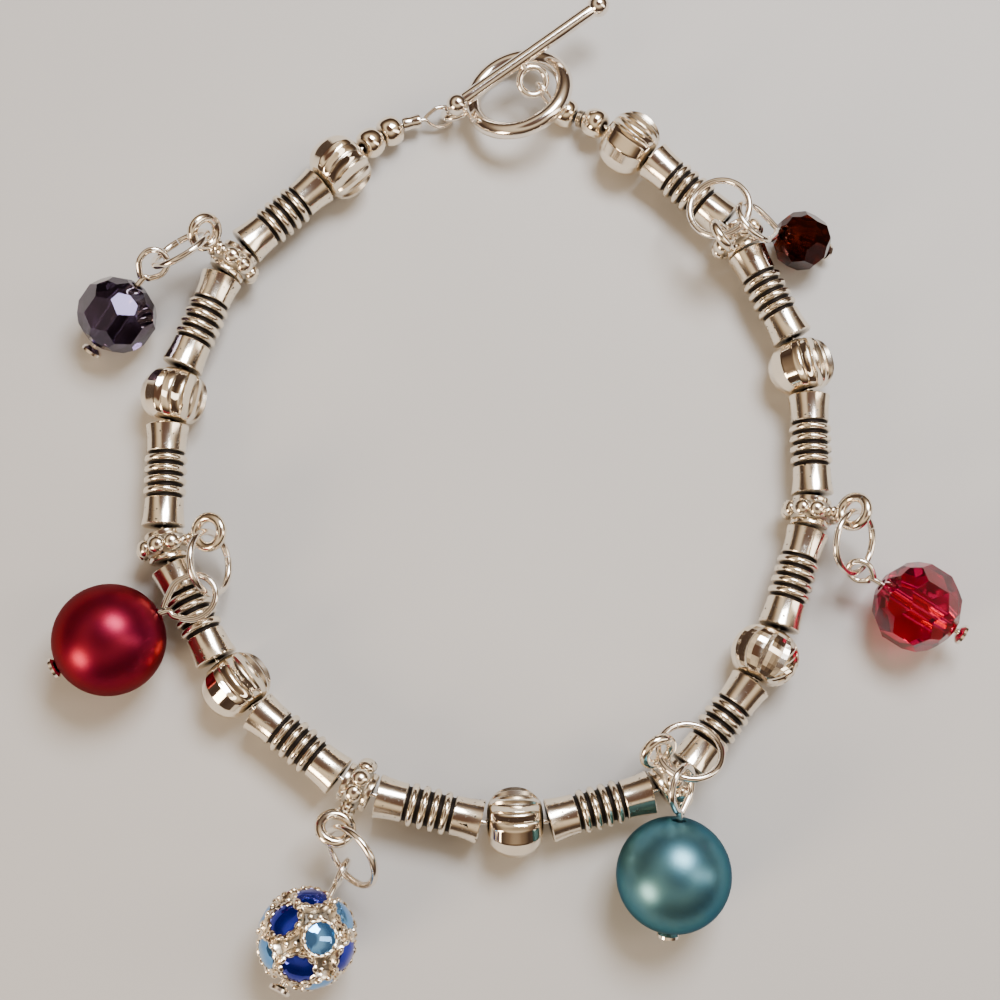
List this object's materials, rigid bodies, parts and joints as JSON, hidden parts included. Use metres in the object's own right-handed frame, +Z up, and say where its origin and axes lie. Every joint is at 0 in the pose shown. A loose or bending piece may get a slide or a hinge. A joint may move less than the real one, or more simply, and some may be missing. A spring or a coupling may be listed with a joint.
{
  "type": "charm bracelet",
  "caption": "Beaded charm bracelet with ribbed tube beads, cut beads, charm bails with hanging beads and a toggle clasp, closed and lying in a loop.",
  "frame": {"origin": "middle of the model's box in X and Y, on the table", "axes": "+Z up from the table, +Y towards the clasp"},
  "size_m": [0.086, 0.097, 0.0103],
  "materials": {
    "antique_silver": "antiqued silver finish, darkened in its grooves, satin to bright",
    "bright_silver": "bright silver finish on the clasp, rings, pins and wire",
    "dark_red_glass": "clear cut glass, nearly black red",
    "red_glass": "clear cut glass, red",
    "purple_glass": "clear cut glass, nearly black purple",
    "teal_pearl": "satin pearl coat",
    "red_pearl": "satin pearl coat",
    "filigree_and_stones": "silver filigree with dark blue and light blue cut stones"
  },
  "bodies": {
    "root": {"toggle_ring": "bright_silver", "toggle_bar": "bright_silver", "stringing_wire": "bright_silver", "small_bead_1": "bright_silver", "crimp_collar": "bright_silver", "small_bead_2": "bright_silver", "cut_bead_1": "antique_silver", "tube_bead_1": "antique_silver", "bail_1": "antique_silver", "tube_bead_2": "antique_silver", "cut_bead_2": "antique_silver", "tube_bead_3": "antique_silver", "bail_2": "antique_silver", "tube_bead_4": "antique_silver", "cut_bead_3": "antique_silver", "tube_bead_5": "antique_silver", "bail_3": "antique_silver", "tube_bead_6": "antique_silver", "cut_bead_4": "antique_silver", "tube_bead_7": "antique_silver", "bail_4": "antique_silver", "tube_bead_8": "antique_silver", "cut_bead_5": "antique_silver", "tube_bead_9": "antique_silver", "bail_5": "antique_silver", "tube_bead_10": "antique_silver", "cut_bead_6": "antique_silver", "tube_bead_11": "antique_silver", "bail_6": "antique_silver", "tube_bead_12": "antique_silver", "cut_bead_7": "antique_silver", "small_bead_3": "bright_silver", "small_bead_4": "bright_silver", "crimp_tube": "bright_silver", "jump_ring_1": "bright_silver", "head_pin_1": "bright_silver", "dark_red_crystal": "dark_red_glass", "jump_ring_2": "bright_silver", "head_pin_2": "bright_silver", "red_crystal": "red_glass", "jump_ring_3": "bright_silver", "head_pin_3": "bright_silver", "teal_pearl": "teal_pearl", "jump_ring_4": "bright_silver", "head_pin_4": "bright_silver", "rhinestone_ball": "filigree_and_stones", "jump_ring_5": "bright_silver", "head_pin_5": "bright_silver", "red_pearl": "red_pearl", "jump_ring_6": "bright_silver", "head_pin_6": "bright_silver", "purple_crystal": "purple_glass"}
  },
  "joints": []
}
